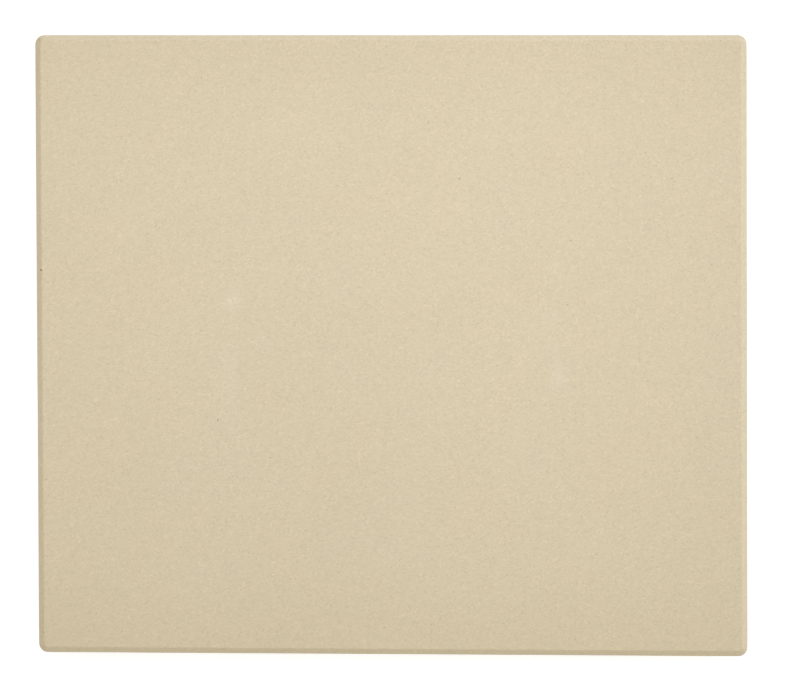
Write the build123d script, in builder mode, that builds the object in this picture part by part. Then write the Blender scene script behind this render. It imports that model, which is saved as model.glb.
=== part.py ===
from build123d import *
import os

# Rectangular baking stone for pizza, bread and flat cakes: one unglazed slab of sandy fireclay.
# It is dry-pressed in a steel die and fired once, so the slab, its chamfered rim and the four
# low bar feet under it are one piece of stone, with no joint and nothing fastened to it.
# Millimetres. +X runs along the long side, +Y to the back, +Z up. The origin is the middle of
# the footprint, on the plane that the feet stand on.

# Slab, as it comes out of the die
slab_length = 406.0
slab_depth = 354.0
slab_thickness = 16.0
corner_radius = 5.2

# Rim: a flat chamfer round the baking surface and a smaller one round the underside
rim_chamfer = 3.4
base_chamfer = 2.0
arris_radius = 0.9

# Bar feet, which lie across the wires of an oven shelf and leave room for fingers
foot_length = 92.0
foot_width = 20.0
foot_height = 6.0
foot_draft_degrees = 10.0
foot_end_inset = 38.0
foot_side_inset = 44.0
foot_root_radius = 2.0
foot_tread_radius = 1.2

# Places that follow from the sizes above
foot_spacing_x = slab_length - 2 * foot_end_inset - foot_length
foot_spacing_y = slab_depth - 2 * foot_side_inset - foot_width

os.makedirs("parts", exist_ok=True)

with BuildPart() as baking_stone:
    # The slab stands on its feet, so its underside is one foot height up
    underside_plane = Plane.XY.offset(foot_height)
    with BuildSketch(underside_plane):
        RectangleRounded(slab_length, slab_depth, corner_radius)
    extrude(amount=slab_thickness)

    # The two punch faces of the die leave a flat chamfer all round, above and below
    baking_face = faces().sort_by(Axis.Z)[-1]
    chamfer(baking_face.edges(), rim_chamfer)
    underside = faces().sort_by(Axis.Z)[0]
    chamfer(underside.edges(), base_chamfer)

    # The level edges that the chamfers leave are rubbed soft before firing
    rim_edges = edges().filter_by(Plane.XY)
    fillet(rim_edges, arris_radius)

    # Bar feet with round ends, drawn in towards the tread so that they leave the punch
    with BuildSketch(underside_plane):
        with GridLocations(foot_spacing_x, foot_spacing_y, 2, 2):
            SlotOverall(foot_length, foot_width)
    extrude(amount=-foot_height, taper=foot_draft_degrees)

    # A hollow fillet at each root and a soft edge round each tread
    level_faces = faces().filter_by(Plane.XY).group_by(Axis.Z)
    foot_roots = [edge for wire in level_faces[1][0].inner_wires() for edge in wire.edges()]
    fillet(foot_roots, foot_root_radius)
    treads = faces().filter_by(Plane.XY).group_by(Axis.Z)[0]
    fillet(treads.edges(), foot_tread_radius)

baking_stone.part.label = "baking_stone"
export_step(baking_stone.part, "parts/baking_stone.step")
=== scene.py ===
import math

import bpy
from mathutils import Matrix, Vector


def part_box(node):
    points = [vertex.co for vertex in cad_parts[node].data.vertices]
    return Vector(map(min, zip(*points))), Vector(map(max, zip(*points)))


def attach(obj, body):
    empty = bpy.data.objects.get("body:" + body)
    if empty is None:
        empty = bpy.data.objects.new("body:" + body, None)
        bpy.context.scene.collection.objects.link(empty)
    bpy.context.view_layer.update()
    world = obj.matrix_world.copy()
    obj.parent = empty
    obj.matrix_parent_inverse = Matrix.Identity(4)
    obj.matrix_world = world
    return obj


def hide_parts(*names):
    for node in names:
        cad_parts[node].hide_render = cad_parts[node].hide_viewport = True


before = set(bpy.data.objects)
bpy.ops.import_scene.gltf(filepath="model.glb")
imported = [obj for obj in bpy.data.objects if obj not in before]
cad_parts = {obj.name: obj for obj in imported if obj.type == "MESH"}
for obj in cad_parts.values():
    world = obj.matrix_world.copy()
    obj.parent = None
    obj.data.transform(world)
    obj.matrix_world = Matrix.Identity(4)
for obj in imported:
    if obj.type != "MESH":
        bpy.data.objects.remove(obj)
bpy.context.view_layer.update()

# The pressed slab
# One dry-pressed and fired slab of sandy fireclay: a rectangle with a flat chamfer round both
# faces, worn arrises, and four low bar feet pressed with it on the underside. It is laid out here
# as the die makes it, and then gets the pores, chipped arrises and slight warp of a fired piece.

slab_low, slab_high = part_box("baking_stone")
nominal_size = slab_high - slab_low
weld_distance = 0.000001

# Firing leaves the slab a little under the nominal size, and skews and warps it by a hair
fired_share = 0.9956
out_of_square = -0.00325

slab_sizes = {
    "Length": nominal_size.x * fired_share,
    "Depth": nominal_size.y * fired_share,
    "Height": nominal_size.z,
    "Foot Height": 0.006,
    "Corner Radius": 0.0052,
    "Rim Chamfer": 0.0034,
    "Base Chamfer": 0.002,
    "Arris Radius": 0.0009,
    "Foot Length": 0.092,
    "Foot Width": 0.020,
    "Foot End Inset": 0.038,
    "Foot Side Inset": 0.044,
    "Foot Draft": math.radians(10),
    "Foot Root Radius": 0.002,
    "Foot Tread Radius": 0.0012,
    "Cell Size": 0.0026,
    "Pore Radius": 0.00032,
    "Pores Per Area": 900.0,
    "Chip Radius": 0.0007,
    "Chips Per Area": 30000.0,
    "Out Of Square": out_of_square,
    "Warp": 0.00016,
    "Wander": 0.00012,
    "Seed": 7,
}


def plug(tree, entry, value):
    """Links a value to a node's input, or writes it there if it is a plain number."""
    if isinstance(value, Field):
        value = value.socket
    if isinstance(value, bpy.types.NodeSocket):
        tree.links.new(value, entry)
    else:
        entry.default_value = value


class Field:
    """A value that varies over a surface, so that a formula in plain signs becomes math nodes."""

    def __init__(self, tree, socket):
        self.tree = tree
        self.socket = socket

    def math(self, operation, *others):
        made = self.tree.nodes.new("ShaderNodeMath")
        made.operation = operation
        for entry, value in zip(made.inputs, (self, *others)):
            plug(self.tree, entry, value)
        return Field(self.tree, made.outputs[0])

    def __add__(self, other):
        return self.math("ADD", other)

    def __sub__(self, other):
        return self.math("SUBTRACT", other)

    def __rsub__(self, other):
        return (self * -1.0) + other

    def __mul__(self, other):
        return self.math("MULTIPLY", other)

    def __truediv__(self, other):
        return self.math("DIVIDE", other)

    def __abs__(self):
        return self.math("ABSOLUTE")

    def at_least(self, other):
        return self.math("MAXIMUM", other)

    def ramp(self, low, high, start=0.0, end=1.0):
        """Goes softly from start to end as the value goes from low to high."""
        made = add(self.tree, "ShaderNodeMapRange", {0: self, 1: low, 2: high, 3: start, 4: end})
        made.interpolation_type = "SMOOTHSTEP"
        return Field(self.tree, made.outputs[0])

    __radd__ = __add__
    __rmul__ = __mul__


def add(tree, kind, inputs=None, **settings):
    """A new node with its settings made and its inputs filled, by their names or numbers."""
    made = tree.nodes.new(kind)
    for name, value in settings.items():
        setattr(made, name, value)
    for name, value in (inputs or {}).items():
        plug(tree, made.inputs[name], value)
    return made


def vector(tree, x=0.0, y=0.0, z=0.0):
    return add(tree, "ShaderNodeCombineXYZ", {"X": x, "Y": y, "Z": z}).outputs[0]


def parts_of(tree, socket):
    made = add(tree, "ShaderNodeSeparateXYZ", {0: socket})
    return [Field(tree, output) for output in made.outputs]


def new_tree(name, kind, inputs, outputs):
    """An empty node group with named sockets, and the fields and geometry that come in."""
    tree = bpy.data.node_groups.new(name, kind)
    for in_out, sockets in (("INPUT", inputs), ("OUTPUT", outputs)):
        for title, socket_type in sockets.items():
            tree.interface.new_socket(title, in_out=in_out, socket_type="NodeSocket" + socket_type)
    entry = tree.nodes.new("NodeGroupInput")
    numbers = ("Float", "Int")
    given = {
        title: Field(tree, entry.outputs[title]) if inputs[title] in numbers else entry.outputs[title]
        for title in inputs
    }
    return tree, given


def give_out(tree, values):
    """Ends a node group by linking what it makes to its outputs."""
    last = tree.nodes.new("NodeGroupOutput")
    for title, value in values.items():
        plug(tree, last.inputs[title], value)


def chosen_by_index(tree, kind, values):
    """A value picked from a short list by the number of the point."""
    index = tree.nodes.new("GeometryNodeInputIndex").outputs[0]
    made = add(tree, "GeometryNodeIndexSwitch", {"Index": index}, data_type=kind)
    while len(made.index_switch_items) < len(values):
        made.index_switch_items.new()
    for number, value in enumerate(values):
        plug(tree, made.inputs[number + 1], value)
    return made.outputs[0]


def section_line(tree, corners):
    """An open line through a half section's corners (reach, height, rounding, arc steps)."""
    points = [vector(tree, x=reach, z=height) for reach, height, rounding, steps in corners]
    line = add(tree, "GeometryNodeMeshLine", {"Count": len(corners)})
    place = chosen_by_index(tree, "VECTOR", points)
    bent = add(tree, "GeometryNodeSetPosition", {"Geometry": line.outputs[0], "Position": place})
    curve = add(tree, "GeometryNodeMeshToCurve", {0: bent.outputs[0]})
    roundings = [rounding for reach, height, rounding, steps in corners]
    steps = [steps for reach, height, rounding, steps in corners]
    filleted = add(tree, "GeometryNodeFilletCurve", {"Curve": curve.outputs[0]}, mode="POLY")
    plug(tree, filleted.inputs["Radius"], chosen_by_index(tree, "FLOAT", roundings))
    plug(tree, filleted.inputs["Count"], chosen_by_index(tree, "INT", steps))
    return filleted.outputs[0]


def make_wrap_group():
    """The group that carries a half section round a core rectangle, with round corners."""
    tree, given = new_tree(
        "wrap_section",
        "GeometryNodeTree",
        {
            "Section": "Geometry",
            "Core Length": "Float",
            "Core Depth": "Float",
            "Cells Along": "Int",
            "Cells Across": "Int",
        },
        {"Mesh": "Geometry"},
    )
    size = add(tree, "GeometryNodeAttributeDomainSize", {0: given["Section"]}, component="CURVE")
    rings = Field(tree, size.outputs["Point Count"]) - 1.0
    cells_x = given["Cells Along"] + rings * 2.0
    cells_y = given["Cells Across"] + rings * 2.0
    grid = add(tree, "GeometryNodeMeshGrid", {"Size X": cells_x, "Size Y": cells_y})
    plug(tree, grid.inputs["Vertices X"], cells_x + 1.0)
    plug(tree, grid.inputs["Vertices Y"], cells_y + 1.0)

    # Each point's ring is how many cells it lies past the core, and its turn goes round the corner
    position = tree.nodes.new("GeometryNodeInputPosition").outputs[0]
    u, v, _ = parts_of(tree, position)
    past_x = (abs(u) - given["Cells Along"] * 0.5).at_least(0.0)
    past_y = (abs(v) - given["Cells Across"] * 0.5).at_least(0.0)
    ring = past_x.at_least(past_y)
    side_x = u.math("SIGN")
    side_y = v.math("SIGN")
    turn = ((past_y - past_x) / ring.at_least(1.0) + 1.0) * (math.pi / 4)
    core_x = (u - side_x * past_x) / given["Cells Along"] * given["Core Length"]
    core_y = (v - side_y * past_y) / given["Cells Across"] * given["Core Depth"]

    here = tree.nodes.new("GeometryNodeInputPosition").outputs[0]
    sampled = add(
        tree,
        "GeometryNodeSampleIndex",
        {"Geometry": given["Section"]},
        data_type="FLOAT_VECTOR",
        domain="POINT",
    )
    plug(tree, sampled.inputs["Value"], here)
    plug(tree, sampled.inputs["Index"], ring.math("ROUND"))
    reach, _, height = parts_of(tree, sampled.outputs[0])
    place = vector(
        tree,
        core_x + side_x * turn.math("COSINE") * reach,
        core_y + side_y * turn.math("SINE") * reach,
        height,
    )
    bent = add(tree, "GeometryNodeSetPosition", {"Geometry": grid.outputs[0], "Position": place})
    merged = add(
        tree, "GeometryNodeMergeByDistance", {"Geometry": bent.outputs[0], "Distance": weld_distance}
    )
    give_out(tree, {"Mesh": merged.outputs[0]})
    return tree


def wrapped(tree, group, section, length, depth, cells_along, cells_across, flip=False):
    """A section carried round its core, turned face down where it is an underside."""
    made = add(tree, "GeometryNodeGroup", node_tree=group)
    values = (section, length, depth, cells_along, cells_across)
    for entry, value in zip(made.inputs, values):
        plug(tree, entry, value)
    if not flip:
        return made.outputs[0]
    return add(tree, "GeometryNodeFlipFaces", {0: made.outputs[0]}).outputs[0]


def give_out_solid(tree, geometry, material):
    """Ends a geometry tree with real copies of everything in it, in one material."""
    real = add(tree, "GeometryNodeRealizeInstances", {0: geometry})
    dressed = add(
        tree, "GeometryNodeSetMaterial", {"Geometry": real.outputs[0], "Material": material}
    )
    give_out(tree, {"Mesh": dressed.outputs[0]})


def joined(tree, *pieces):
    made = tree.nodes.new("GeometryNodeJoinGeometry")
    for piece in pieces:
        tree.links.new(piece, made.inputs[0])
    return made.outputs[0]


def cut_or_weld(tree, operation, body, tool):
    """Welds a tool to a body, or cuts it out."""
    made = add(tree, "GeometryNodeMeshBoolean", operation=operation, solver="MANIFOLD")
    if operation == "DIFFERENCE":
        tree.links.new(body, made.inputs["Mesh 1"])
        tree.links.new(tool, made.inputs["Mesh 2"])
    else:
        tree.links.new(body, made.inputs["Mesh 2"])
        tree.links.new(tool, made.inputs["Mesh 2"])
    return made.outputs[0]


def scattered(tree, points, shape, **turns_and_scales):
    """Real copies of a shape at a set of points."""
    made = add(tree, "GeometryNodeInstanceOnPoints", {"Points": points, "Instance": shape})
    for title, value in turns_and_scales.items():
        plug(tree, made.inputs[title], value)
    return add(tree, "GeometryNodeRealizeInstances", {0: made.outputs[0]}).outputs[0]


def noise(tree, place, scale, detail=2.0, roughness=0.5, color=False):
    """Smooth noise at a place, whose lumps are about one over the scale across."""
    made = add(
        tree,
        "ShaderNodeTexNoise",
        {"Vector": place, "Scale": scale, "Detail": detail, "Roughness": roughness},
    )
    return made.outputs["Color"] if color else Field(tree, made.outputs[0])


def random_number(tree, low, high, seed):
    made = add(tree, "FunctionNodeRandomValue", data_type="FLOAT")
    plug(tree, made.inputs[2], low)
    plug(tree, made.inputs[3], high)
    plug(tree, made.inputs["Seed"], seed)
    return Field(tree, made.outputs[1])


def loose_grains(tree, host, chosen, per_area, radius, seed):
    """Rounded grains of random size that lie scattered in a host's surface, none over another."""
    gap_in_radii = 2.2
    size_spread = 0.6
    least_size = 0.4
    spread = add(
        tree,
        "GeometryNodeDistributePointsOnFaces",
        {
            "Mesh": host,
            "Selection": chosen,
            "Distance Min": radius * gap_in_radii,
            "Density Max": per_area,
            "Seed": seed,
        },
        distribute_method="POISSON",
    )
    grain = add(tree, "GeometryNodeMeshIcoSphere", {"Radius": radius, "Subdivisions": 2})
    share = random_number(tree, 0.0, 1.0, seed)
    size = share * share * share * size_spread + least_size
    width = random_number(tree, 0.6, 1.0, seed + 3.0)
    depth = random_number(tree, 0.3, 0.7, seed + 4.0)
    return scattered(
        tree,
        spread.outputs["Points"],
        grain.outputs[0],
        Rotation=spread.outputs["Rotation"],
        Scale=vector(tree, size, size * width, size * depth),
    )


slab_tree, given = new_tree(
    "pressed_slab",
    "GeometryNodeTree",
    {title: "Int" if title == "Seed" else "Float" for title in slab_sizes}
    | {"Material": "Material"},
    {"Mesh": "Geometry"},
)
wrap_group = make_wrap_group()

core_length = given["Length"] - given["Corner Radius"] * 2.0
core_depth = given["Depth"] - given["Corner Radius"] * 2.0
cells_along = (core_length / given["Cell Size"]).math("ROUND")
cells_across = (core_depth / given["Cell Size"]).math("ROUND")
wall = given["Corner Radius"]
rim_start = wall - given["Rim Chamfer"]
base_start = wall - given["Base Chamfer"]
top = given["Height"]
rim_end = top - given["Rim Chamfer"]
underside = given["Foot Height"]
base_end = underside + given["Base Chamfer"]
parting = (rim_end + base_end) * 0.5
arris = given["Arris Radius"]

upper_section = section_line(
    slab_tree,
    [
        (0.0, top, 0.0, 0),
        (rim_start * 0.4, top, 0.0, 0),
        (rim_start, top, arris, 5),
        (rim_start + given["Rim Chamfer"] * 0.33, top - given["Rim Chamfer"] * 0.33, 0.0, 0),
        (rim_start + given["Rim Chamfer"] * 0.66, top - given["Rim Chamfer"] * 0.66, 0.0, 0),
        (wall, rim_end, arris, 5),
        (wall, rim_end * 0.6 + parting * 0.4, 0.0, 0),
        (wall, rim_end * 0.25 + parting * 0.75, 0.0, 0),
        (wall, parting, 0.0, 0),
    ],
)
lower_section = section_line(
    slab_tree,
    [
        (0.0, underside, 0.0, 0),
        (base_start * 0.5, underside, 0.0, 0),
        (base_start, underside, arris, 5),
        (wall - given["Base Chamfer"] * 0.5, underside + given["Base Chamfer"] * 0.5, 0.0, 0),
        (wall, base_end, arris, 5),
        (wall, base_end * 0.7 + parting * 0.3, 0.0, 0),
        (wall, base_end * 0.4 + parting * 0.6, 0.0, 0),
        (wall, base_end * 0.15 + parting * 0.85, 0.0, 0),
        (wall, parting, 0.0, 0),
    ],
)
upper = wrapped(
    slab_tree, wrap_group, upper_section, core_length, core_depth, cells_along, cells_across
)
lower = wrapped(
    slab_tree, wrap_group, lower_section, core_length, core_depth, cells_along, cells_across, True
)
slab = add(
    slab_tree,
    "GeometryNodeMergeByDistance",
    {"Geometry": joined(slab_tree, upper, lower), "Distance": weld_distance},
).outputs[0]

# Each foot is the same kind of ring about a straight core, closed again just inside the slab
half_width = given["Foot Width"] * 0.5
draw_in = given["Foot Draft"].math("TANGENT") * underside
sunk = 0.00002
foot_section = section_line(
    slab_tree,
    [
        (0.0, 0.0, 0.0, 0),
        ((half_width - draw_in) * 0.5, 0.0, 0.0, 0),
        (half_width - draw_in, 0.0, given["Foot Tread Radius"], 4),
        (half_width, underside + sunk, given["Foot Root Radius"], 4),
        (half_width + given["Foot Root Radius"], underside + sunk, 0.0, 0),
        (half_width, underside + given["Base Chamfer"], 0.0, 0),
        (0.0, underside + given["Base Chamfer"], 0.0, 0),
    ],
)
foot_core = given["Foot Length"] - given["Foot Width"]
foot = wrapped(
    slab_tree, wrap_group, foot_section, foot_core, 0.0, foot_core / given["Cell Size"], 0, True
)
spread_x = given["Length"] - given["Foot End Inset"] * 2.0 - given["Foot Length"]
spread_y = given["Depth"] - given["Foot Side Inset"] * 2.0 - given["Foot Width"]
foot_places = add(
    slab_tree,
    "GeometryNodeMeshGrid",
    {"Size X": spread_x, "Size Y": spread_y, "Vertices X": 2, "Vertices Y": 2},
)
feet = scattered(slab_tree, foot_places.outputs[0], foot)

# Chips knock a few grains out of the rubbed arrises, and burnt-out grains leave pores all over
edge_angle = Field(slab_tree, slab_tree.nodes.new("GeometryNodeInputMeshEdgeAngle").outputs[0])
arris_angle = math.radians(3)
on_arris = edge_angle.math("GREATER_THAN", arris_angle)
chips = loose_grains(
    slab_tree, slab, on_arris, given["Chips Per Area"], given["Chip Radius"], given["Seed"]
)
body = cut_or_weld(slab_tree, "UNION", slab, feet)
pores = loose_grains(
    slab_tree, body, True, given["Pores Per Area"], given["Pore Radius"], given["Seed"] + 1.0
)
body = cut_or_weld(slab_tree, "DIFFERENCE", body, joined(slab_tree, chips, pores))

# The fired shape: edges that wander, a face that is not quite flat, and corners not quite square.
# The treads stay level, because they are ground on a flat plate.
here = slab_tree.nodes.new("GeometryNodeInputPosition").outputs[0]
x, y, z = parts_of(slab_tree, here)
wander_length = 0.045
warp_length = 0.16
wander = noise(slab_tree, here, 1 / wander_length, color=True)
wander_x, wander_y, _ = (part * 2.0 - 1.0 for part in parts_of(slab_tree, wander))
above_tread = z.ramp(0.0, slab_sizes["Foot Height"])
skew_x = y * given["Out Of Square"]
skew_y = x * given["Out Of Square"]
warp = noise(slab_tree, here, 1 / warp_length) * given["Warp"] * above_tread
shift = vector(
    slab_tree,
    skew_x + wander_x * given["Wander"],
    skew_y + wander_y * given["Wander"],
    warp * -1.0,
)
fired = add(slab_tree, "GeometryNodeSetPosition", {"Geometry": body, "Offset": shift}).outputs[0]

# Shading runs smoothly over the rubbed edges and breaks at the lips of chips and pores
rounded = add(slab_tree, "GeometryNodeSetShadeSmooth", {"Geometry": fired}, domain="FACE")
lip_angle = math.radians(28)
lip = edge_angle.math("GREATER_THAN", lip_angle)
lipped = add(
    slab_tree,
    "GeometryNodeSetShadeSmooth",
    {"Geometry": rounded.outputs[0], "Selection": lip, "Shade Smooth": False},
    domain="EDGE",
)
give_out_solid(slab_tree, lipped.outputs[0], given["Material"])


def bake(name, start, tree, settings):
    """The plain object that a tree makes of a starting mesh."""
    worker = bpy.data.objects.new(name, start)
    bpy.context.scene.collection.objects.link(worker)
    modifier = worker.modifiers.new(name, "NODES")
    modifier.node_group = tree
    for item in tree.interface.items_tree:
        if item.in_out == "INPUT" and item.name in settings:
            modifier[item.identifier] = settings[item.name]
    depsgraph = bpy.context.evaluated_depsgraph_get()
    plain = bpy.data.meshes.new_from_object(worker.evaluated_get(depsgraph), depsgraph=depsgraph)
    worker.modifiers.remove(modifier)
    worker.data = plain
    plain.name = name
    return worker


# The fired clay: a pale sandy body, a little darker or lighter from grain to grain. The shoe that
# filled the die left broad faint bands across it, and the clay is darker towards its long edges.
# Painted shade: the rim, walls and underside are painted a touch darker than the face.
clay_color = (0.718, 0.616, 0.434)
warm_clay_color = (0.721, 0.614, 0.428)
long_edge_clay_color = (0.700, 0.596, 0.413)
grain_size = 0.00085
grain_contrast = 0.096
grain_height = 0.00007
dust_size = 0.00044
dust_contrast = 0.046
dust_height = 0.00002
pit_spread = 0.0012
pit_depth = 0.00010
pit_shade = 0.035
drag_spacing = 0.0016
drag_length = 0.020
drag_contrast = 0.018
# Painted shade on the rim, walls and underside: where it starts below the face, and how dark
face_depth = 0.0004
painted_rim_shade = 0.017
fade_length = 0.001
cloud_size = 0.05
cloud_contrast = 0.012
band_spacing = 0.27
band_peak = 0.10
band_contrast = 0.0055
long_edge_start = 0.115
clay_roughness = 0.92
crown_polish = 0.06
clay_gloss = 0.3

# Pale dust where something rubbed the face: middle, half width, half length and strength
pale_dust_color = (0.790, 0.710, 0.560)
rub_marks = [
    ((-0.0893, 0.0247), 0.0055, 0.0090, 0.34),
    ((-0.0914, 0.0253), 0.0016, 0.0026, 0.70),
    ((-0.0920, -0.0215), 0.0075, 0.0340, 0.12),
    ((0.0953, -0.0168), 0.0068, 0.0112, 0.40),
    ((0.0958, -0.0188), 0.0024, 0.0042, 0.50),
    ((0.0930, -0.0025), 0.0050, 0.0085, 0.16),
    ((0.0937, 0.0446), 0.0050, 0.0070, 0.20),
    ((0.0927, 0.0160), 0.0045, 0.0065, 0.14),
    ((0.1190, 0.0285), 0.0055, 0.0060, 0.15),
]


def tinted(tree, color, tone):
    """A colour made lighter or darker by a tone about 1."""
    made = add(tree, "ShaderNodeVectorMath", {0: color, "Scale": tone}, operation="SCALE")
    return made.outputs[0]


def mixed(tree, share, first, second):
    """A colour between two, nearer the second as the share grows."""
    made = add(tree, "ShaderNodeMix", data_type="RGBA")
    plug(tree, made.inputs[0], share)
    for entry, color in ((made.inputs[6], first), (made.inputs[7], second)):
        plug(tree, entry, (*color, 1.0) if isinstance(color, tuple) else color)
    return made.outputs[2]


def placed(tree, group, **values):
    """A node group set in a material, with its outputs by name."""
    made = add(tree, "ShaderNodeGroup", node_tree=group)
    for title, value in values.items():
        plug(tree, made.inputs[title.replace("_", " ")], value)
    return {output.name: Field(tree, output) for output in made.outputs}


def make_sandy_group():
    """Group for ragged grains of sand: each one's tone about 0, and how proud it stands, 0 to 1."""
    tree, given = new_tree(
        "sandy_body",
        "ShaderNodeTree",
        {"Place": "Vector", "Grain Size": "Float"},
        {"Tone": "Float", "Height": "Float"},
    )
    per_meter = given["Grain Size"].math("POWER", -1.0)
    teeth_per_grain = 2.2
    tooth_reach = 1.6
    wobble = noise(tree, given["Place"], per_meter * teeth_per_grain, color=True)
    ragged = add(
        tree,
        "ShaderNodeVectorMath",
        {0: wobble, 1: given["Grain Size"] * tooth_reach, 2: given["Place"]},
        operation="MULTIPLY_ADD",
    )
    cells = add(tree, "ShaderNodeTexVoronoi", {"Vector": ragged.outputs[0], "Scale": per_meter})
    draw, other_draw, _ = parts_of(tree, cells.outputs["Color"])
    lean = draw * 2.0 - 1.0
    crown = Field(tree, cells.outputs["Distance"]).ramp(0.1, 0.8, 1.0, 0.0)
    give_out(tree, {"Tone": lean * lean * lean, "Height": crown * (other_draw * 0.6 + 0.4)})
    return tree


def make_cloud_group():
    """Group for the slow drift of tone over a fired face, about 0."""
    tree, given = new_tree(
        "fired_cloud",
        "ShaderNodeTree",
        {"Place": "Vector", "Size": "Float"},
        {"Tone": "Float", "Warmth": "Float"},
    )
    scale = Field(tree, given["Size"].socket).math("POWER", -1.0)
    drift = noise(tree, given["Place"], scale, detail=4.0, roughness=0.6, color=True)
    tone, warmth, _ = parts_of(tree, drift)
    give_out(tree, {"Tone": tone * 4.0 - 2.0, "Warmth": warmth.ramp(0.3, 0.7)})
    return tree


def make_rub_group():
    """Group for one long mark where something rubbed the face paler, broken up by the grain."""
    tree, given = new_tree(
        "rub_mark",
        "ShaderNodeTree",
        {"Place": "Vector", "Center": "Vector", "Half Width": "Float", "Half Length": "Float"},
        {"Mask": "Float"},
    )
    away = add(
        tree,
        "ShaderNodeVectorMath",
        {0: given["Place"], 1: given["Center"]},
        operation="SUBTRACT",
    )
    across, along, above = parts_of(tree, away.outputs[0])
    width, length = given["Half Width"], given["Half Length"]
    oval = vector(tree, across / width, along / length, above / width)
    reach = add(tree, "ShaderNodeVectorMath", {0: oval}, operation="LENGTH")
    patches_per_meter = 350.0
    raggedness = 1.8
    ragged = noise(tree, given["Place"], patches_per_meter, detail=4.0, roughness=0.6)
    edge = Field(tree, reach.outputs["Value"]) + (ragged - 0.5) * raggedness
    full_inside = -0.2
    gone_outside = 1.1
    give_out(tree, {"Mask": edge.ramp(full_inside, gone_outside, 1.0, 0.0)})
    return tree


def make_pit_group():
    """Group for the small pits between the grains, 0 to 1."""
    tree, given = new_tree(
        "grain_pits", "ShaderNodeTree", {"Place": "Vector", "Spread": "Float"}, {"Mask": "Float"}
    )
    scale = Field(tree, given["Spread"].socket).math("POWER", -1.0)
    lumps = noise(tree, given["Place"], scale, detail=3.0, roughness=0.6)
    pit_lip = 0.66
    pit_floor = 0.76
    give_out(tree, {"Mask": lumps.ramp(pit_lip, pit_floor)})
    return tree


def make_drag_group():
    """Group for the upright streaks where the pressed wall slid up the die, about 0."""
    tree, given = new_tree(
        "die_drag",
        "ShaderNodeTree",
        {"Place": "Vector", "Spacing": "Float", "Length": "Float"},
        {"Tone": "Float"},
    )
    across, back, up = parts_of(tree, given["Place"])
    spacing, length = given["Spacing"], given["Length"]
    stretched = vector(tree, across / spacing, back / spacing, up / length)
    streak = noise(tree, stretched, 1.0, detail=3.0, roughness=0.6)
    give_out(tree, {"Tone": streak * 4.0 - 2.0})
    return tree


sandy_group = make_sandy_group()
pit_group = make_pit_group()
drag_group = make_drag_group()
cloud_group = make_cloud_group()
rub_group = make_rub_group()


def new_material(name):
    """An empty node material, its tree, its shader and the place on the piece."""
    material = bpy.data.materials.new(name)
    material.use_nodes = True
    tree = material.node_tree
    shader = tree.nodes["Principled BSDF"]
    place = tree.nodes.new("ShaderNodeTexCoord").outputs["Object"]
    return material, tree, shader, place


fireclay, tree, shader, place = new_material("fired_fireclay_body")
sand = placed(tree, sandy_group, Place=place, Grain_Size=grain_size)
dust = placed(tree, sandy_group, Place=place, Grain_Size=dust_size)
cloud = placed(tree, cloud_group, Place=place, Size=cloud_size)
pits = placed(tree, pit_group, Place=place, Spread=pit_spread)["Mask"]
drag = placed(tree, drag_group, Place=place, Spacing=drag_spacing, Length=drag_length)["Tone"]
along, back, up = parts_of(tree, place)
bands = ((along - band_peak) * (2 * math.pi / band_spacing)).math("COSINE")
# The clay turns a little darker and browner towards the two long edges
long_edge_share = abs(back).ramp(long_edge_start, slab_high.y)
wall_foot = slab_sizes["Foot Height"] + slab_sizes["Base Chamfer"]
wall_head = slab_high.z - slab_sizes["Rim Chamfer"]
above_foot = up.ramp(wall_foot, wall_foot + fade_length)
below_head = up.ramp(wall_head - fade_length, wall_head, 1.0, 0.0)
on_wall = above_foot * below_head
# Painted shade: below the face, on the rim, walls and underside, the clay is painted a touch darker
face_foot = slab_high.z - face_depth
painted_shade_below_face = up.ramp(face_foot - fade_length, face_foot, 1.0, 0.0)
tone = sand["Tone"] * grain_contrast + dust["Tone"] * dust_contrast + cloud["Tone"] * cloud_contrast
tone = tone + bands * band_contrast - pits * pit_shade + drag * on_wall * drag_contrast
tone = tone - painted_shade_below_face * painted_rim_shade
clay = mixed(tree, cloud["Warmth"], clay_color, warm_clay_color)
clay = mixed(tree, long_edge_share, clay, long_edge_clay_color)
color = tinted(tree, clay, tone + 1.0)
for (mark_x, mark_y), half_width, half_length, strength in rub_marks:
    center = (mark_x, mark_y, slab_high.z)
    mark = placed(
        tree, rub_group, Place=place, Center=center, Half_Width=half_width, Half_Length=half_length
    )
    color = mixed(tree, mark["Mask"] * strength, color, pale_dust_color)
plug(tree, shader.inputs["Base Color"], color)
plug(tree, shader.inputs["Roughness"], clay_roughness - sand["Height"] * crown_polish)
shader.inputs["Specular IOR Level"].default_value = clay_gloss
relief = sand["Height"] * grain_height + dust["Height"] * dust_height - pits * pit_depth
bump = add(tree, "ShaderNodeBump", {"Strength": 1.0, "Distance": 1.0, "Height": relief})
plug(tree, shader.inputs["Normal"], bump.outputs[0])

slab_sizes["Material"] = fireclay
stone = bake("fired_slab", bpy.data.meshes.new("slab_start"), slab_tree, slab_sizes)
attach(stone, "root")
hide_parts("baking_stone")

# Specks and grog
# Dark grains of iron ore and burnt sand that came with the clay, and pale grains of grog, which is
# crushed fired clay. They lie pressed nearly flush in the surface and are fired in with it.

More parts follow.
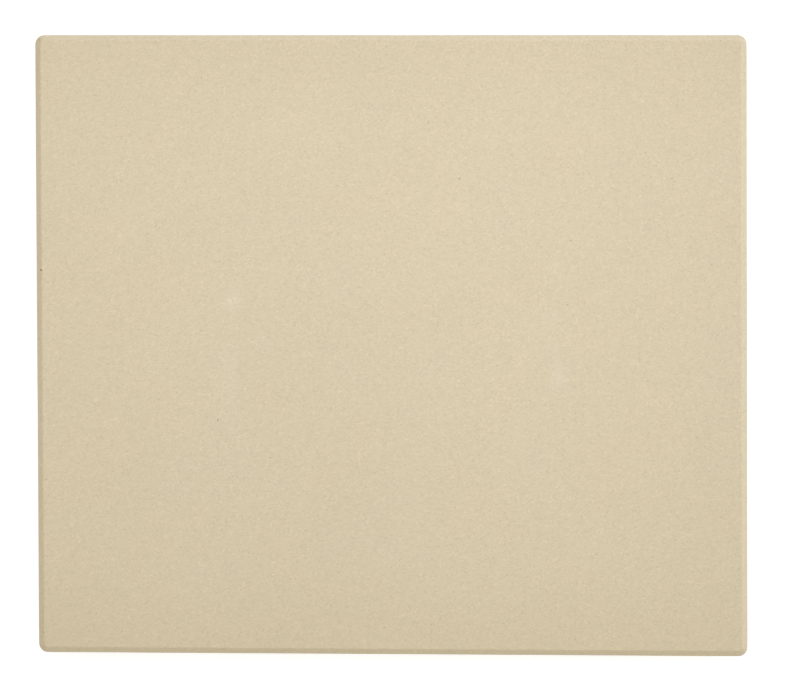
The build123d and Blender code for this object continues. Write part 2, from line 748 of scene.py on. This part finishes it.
speck_color = (0.175, 0.130, 0.060)
speck_places = [
    ((-0.0985, -0.0424), 0.00045),
    ((0.0390, 0.0946), 0.00044),
    ((-0.0687, -0.0638), 0.00032),
    ((-0.0445, -0.0690), 0.00034),
    ((0.1003, 0.0233), 0.00027),
    ((-0.1072, 0.1520), 0.00036),
    ((0.1442, 0.1091), 0.00033),
    ((0.0004, -0.1430), 0.00028),
    ((-0.0037, -0.1605), 0.00021),
    ((0.0230, -0.1587), 0.00025),
    ((0.0640, 0.0629), 0.00022),
    ((0.1054, -0.1350), 0.00023),
    ((0.1634, 0.0462), 0.00023),
    ((-0.0486, -0.1053), 0.00033),
    ((0.1689, -0.1464), 0.00020),
    ((-0.1994, 0.0430), 0.00087),
    ((-0.1997, 0.1742), 0.00040),
    ((0.0422, -0.0168), 0.00020),
    ((-0.1489, -0.1686), 0.00020),
    ((0.1813, 0.0064), 0.00019),
    ((0.0433, -0.0804), 0.00019),
    ((0.1559, 0.0013), 0.00018),
    ((0.1691, -0.1150), 0.00022),
    ((0.1503, -0.0474), 0.00018),
    ((0.0030, 0.0247), 0.00018),
    ((-0.0059, 0.1697), 0.00018),
    ((-0.0187, -0.1415), 0.00018),
    ((-0.1361, 0.1400), 0.00018),
    ((-0.1982, -0.1636), 0.00024),
]
grog_color = (0.790, 0.715, 0.565)
grog_places = [
    ((-0.0914, 0.0253), 0.00085),
    ((-0.0633, 0.1092), 0.00060),
    ((-0.1972, -0.0493), 0.00050),
    ((-0.1169, -0.1560), 0.00050),
    ((0.0473, -0.1362), 0.00050),
    ((0.0450, 0.0337), 0.00050),
    ((0.1841, 0.0138), 0.00045),
    ((0.0501, -0.1464), 0.00045),
    ((0.1220, 0.0183), 0.00045),
    ((0.0603, -0.1293), 0.00045),
    ((0.0711, -0.0469), 0.00045),
    ((0.1164, -0.1025), 0.00045),
]

speck_gloss = 0.2
mottle_size = 0.0004
mottle_contrast = 0.5
darkest_tone = 0.75
roughness_spread = 0.3
least_roughness = 0.55
drop_height = 0.01
search_depth = 0.1

speck_tree, given = new_tree(
    "fired_in_specks",
    "GeometryNodeTree",
    {
        "Places": "Geometry",
        "Host": "Object",
        "Face Per Area": "Float",
        "Face Radius": "Float",
        "Elsewhere Per Area": "Float",
        "Elsewhere Radius": "Float",
        "Flatness": "Float",
        "Material": "Material",
        "Seed": "Int",
    },
    {"Mesh": "Geometry"},
)
host = add(
    speck_tree, "GeometryNodeObjectInfo", {"Object": given["Host"]}, transform_space="RELATIVE"
)
surface = host.outputs["Geometry"]
here = speck_tree.nodes.new("GeometryNodeInputPosition").outputs[0]
normal = speck_tree.nodes.new("GeometryNodeInputNormal").outputs[0]

# The places seen in the plan view are dropped on the face, which each keeps the normal of
down = add(
    speck_tree,
    "GeometryNodeRaycast",
    {"Target Geometry": surface, "Ray Direction": (0.0, 0.0, -1.0), "Ray Length": search_depth},
)
caught = speck_tree.nodes.new("GeometryNodeCaptureAttribute")
caught.capture_items.new("VECTOR", "Face Normal")
plug(speck_tree, caught.inputs[0], given["Places"])
plug(speck_tree, caught.inputs[1], down.outputs["Hit Normal"])
seated = add(
    speck_tree,
    "GeometryNodeSetPosition",
    {"Geometry": caught.outputs[0], "Position": down.outputs["Hit Position"]},
)
upright = add(
    speck_tree, "FunctionNodeAlignRotationToVector", {"Vector": caught.outputs[1]}, axis="Z"
)

# One lumpy pebble, half sunk
pebble = add(speck_tree, "GeometryNodeMeshIcoSphere", {"Radius": 1.0, "Subdivisions": 2})
lumps_per_radius = 1.3
lump_height = 0.8
sunk_share = 0.5
lump = (noise(speck_tree, here, lumps_per_radius) - 0.5) * lump_height
swell = add(speck_tree, "ShaderNodeVectorMath", {0: normal, "Scale": lump}, operation="SCALE")
sunk = vector(speck_tree, z=-sunk_share)
swollen = add(speck_tree, "ShaderNodeVectorMath", {0: swell.outputs[0], 1: sunk})
pebble = add(
    speck_tree, "GeometryNodeSetPosition", {"Geometry": pebble.outputs[0], "Offset": swollen.outputs[0]}
)


def pebbles(points, rotation, size):
    """Flat pebbles of a given size, some of them narrower, pressed in at a set of points."""
    width = random_number(speck_tree, 0.6, 1.0, given["Seed"])
    scale = vector(speck_tree, size, size * width, size * given["Flatness"])
    return scattered(speck_tree, points, pebble.outputs[0], Rotation=rotation, Scale=scale)


def strewn(chosen, per_area, radius, seed):
    """Pebbles at random on a part of the stone, most of them small."""
    spread = add(
        speck_tree,
        "GeometryNodeDistributePointsOnFaces",
        {"Mesh": surface, "Selection": chosen, "Density": per_area, "Seed": seed},
    )
    share = random_number(speck_tree, 0.0, 1.0, seed)
    size_spread = 0.8
    least_size = 0.6
    size = (share * share * size_spread + least_size) * radius
    return pebbles(spread.outputs["Points"], spread.outputs["Rotation"], size)


radius = add(
    speck_tree, "GeometryNodeInputNamedAttribute", {"Name": "radius"}, data_type="FLOAT"
)
seen = pebbles(seated.outputs[0], upright.outputs[0], Field(speck_tree, radius.outputs[0]))
_, _, facing = parts_of(speck_tree, normal)
_, _, level = parts_of(speck_tree, here)
least_facing = 0.5
on_face = facing.math("GREATER_THAN", least_facing)
tread_margin = 0.001
off_tread = level.math("GREATER_THAN", tread_margin)
on_face_seed = given["Seed"] + 1.0
elsewhere_seed = given["Seed"] + 2.0
fine = strewn(on_face, given["Face Per Area"], given["Face Radius"], on_face_seed)
elsewhere = (1.0 - on_face) * off_tread
unseen = strewn(elsewhere, given["Elsewhere Per Area"], given["Elsewhere Radius"], elsewhere_seed)
smooth = add(
    speck_tree, "GeometryNodeSetShadeSmooth", {"Geometry": joined(speck_tree, seen, fine, unseen)}
)
give_out_solid(speck_tree, smooth.outputs[0], given["Material"])


def fired_in(name, color, places, settings):
    """One kind of grain as a piece that rides with the stone."""
    grain, tree, shader, place = new_material(name)
    mottle = noise(tree, place, 1 / mottle_size, detail=3.0)
    tone = mottle * mottle_contrast + darkest_tone
    plug(tree, shader.inputs["Base Color"], tinted(tree, color, tone))
    plug(tree, shader.inputs["Roughness"], mottle * roughness_spread + least_roughness)
    shader.inputs["Specular IOR Level"].default_value = speck_gloss
    start = bpy.data.meshes.new(name + "_places")
    over = slab_high.z + drop_height
    start.from_pydata([(x, y, over) for (x, y), radius in places], [], [])
    radii = start.attributes.new("radius", "FLOAT", "POINT")
    radii.data.foreach_set("value", [radius for place, radius in places])
    made = bake(name, start, speck_tree, settings | {"Host": stone, "Material": grain})
    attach(made, "root")


speck_settings = {
    "Face Per Area": 2000.0,
    "Face Radius": 0.00020,
    "Elsewhere Per Area": 260.0,
    "Elsewhere Radius": 0.00030,
    "Flatness": 0.2,
    "Seed": 4,
}
grog_settings = {
    "Face Per Area": 1500.0,
    "Face Radius": 0.00038,
    "Elsewhere Per Area": 1500.0,
    "Elsewhere Radius": 0.00035,
    "Flatness": 0.1,
    "Seed": 9,
}
fired_in("iron_specks", speck_color, speck_places, speck_settings)
fired_in("grog_grains", grog_color, grog_places, grog_settings)

# Studio floor
# A white table top. The camera sees it as plain white paper where nothing shades it, and the
# soft shadow under the stone stays. A faint glow lights the stone's underside, and the sheet is
# clear when it is seen from below.

floor_reach = 3.0
floor_white = (0.84, 0.86, 0.91)
paper_roughness = 0.9
paper_glow = 0.55
paper_fill = 0.10

floor_mesh = bpy.data.meshes.new("studio_floor")
floor_corners = [(-1, -1), (1, -1), (1, 1), (-1, 1)]
floor_points = [(x * floor_reach, y * floor_reach, 0.0) for x, y in floor_corners]
floor_mesh.from_pydata(floor_points, [], [(0, 1, 2, 3)])
floor = bpy.data.objects.new("studio_floor", floor_mesh)
bpy.context.scene.collection.objects.link(floor)

paper, tree, shader, place = new_material("white_paper")
light_path = tree.nodes.new("ShaderNodeLightPath")
seen_directly = Field(tree, light_path.outputs["Is Camera Ray"])
for title in ("Is Glossy Ray", "Is Transmission Ray"):
    seen_directly = seen_directly.at_least(Field(tree, light_path.outputs[title]))
shader.inputs["Base Color"].default_value = (*floor_white, 1.0)
shader.inputs["Roughness"].default_value = paper_roughness
shader.inputs["Specular IOR Level"].default_value = 0.0
shader.inputs["Emission Color"].default_value = (1.0, 1.0, 1.0, 1.0)
glow = seen_directly * (paper_glow - paper_fill) + paper_fill
plug(tree, shader.inputs["Emission Strength"], glow)
clear = tree.nodes.new("ShaderNodeBsdfTransparent")
from_below = tree.nodes.new("ShaderNodeNewGeometry").outputs["Backfacing"]
two_sided = add(tree, "ShaderNodeMixShader", {0: from_below})
tree.links.new(shader.outputs[0], two_sided.inputs[1])
tree.links.new(clear.outputs[0], two_sided.inputs[2])
tree.links.new(two_sided.outputs[0], tree.nodes["Material Output"].inputs["Surface"])
floor_mesh.materials.append(paper)

# Studio light
# Soft light from all round and three soft boxes: one over the back half of the stone, one behind
# it to the right, and a low one at the right, which gives the rim its lit and shaded sides.

sky_strength = 0.613
sky_color = (1.041, 0.997, 0.913)
lamps = {
    "top_soft_box": ((0.02, 0.172, 0.617), (0.45, 0.35), 1.385, (0.94, 1.004, 1.137)),
    "back_soft_box": ((1.80, 1.74, 0.60), (1.2, 0.5), 16.8, (0.88, 1.01, 1.26)),
    "side_soft_box": ((2.60, -1.20, 0.40), (0.7, 0.7), 9.3, (0.93, 1.03, 0.92)),
}
aim = Vector((0.0, 0.0, 0.02))

for name, (stand, (width, height), power, color) in lamps.items():
    lamp = bpy.data.lights.new(name, "AREA")
    lamp.shape = "RECTANGLE"
    lamp.size = width
    lamp.size_y = height
    lamp.energy = power
    lamp.color = color
    holder = bpy.data.objects.new(name, lamp)
    holder.location = stand
    holder.rotation_euler = (aim - Vector(stand)).to_track_quat("-Z", "Y").to_euler()
    holder.visible_camera = False
    bpy.context.scene.collection.objects.link(holder)

world = bpy.data.worlds.new("white_studio")
world.use_nodes = True
tree = world.node_tree
light_path = tree.nodes.new("ShaderNodeLightPath")
seen_directly = Field(tree, light_path.outputs["Is Camera Ray"])
for title in ("Is Glossy Ray", "Is Transmission Ray"):
    seen_directly = seen_directly.at_least(Field(tree, light_path.outputs[title]))
background = tree.nodes["Background"]
plug(tree, background.inputs["Color"], mixed(tree, seen_directly, sky_color, (1.0, 1.0, 1.0)))
plug(tree, background.inputs["Strength"], seen_directly * (1.0 - sky_strength) + sky_strength)
bpy.context.scene.world = world
bpy.context.scene.view_settings.view_transform = "Standard"

# Camera
# Straight above the stone, a little off its middle, as the plan view was taken

camera_data = bpy.data.cameras.new("plan_camera")
camera_data.lens = 118.0
camera_data.sensor_width = 36.0
camera = bpy.data.objects.new("plan_camera", camera_data)
camera.location = (0.0446, 0.0287, 1.5097)
camera.rotation_euler = [math.radians(turn) for turn in (-1.151, 1.513, -0.041)]
bpy.context.scene.collection.objects.link(camera)
bpy.context.scene.camera = camera
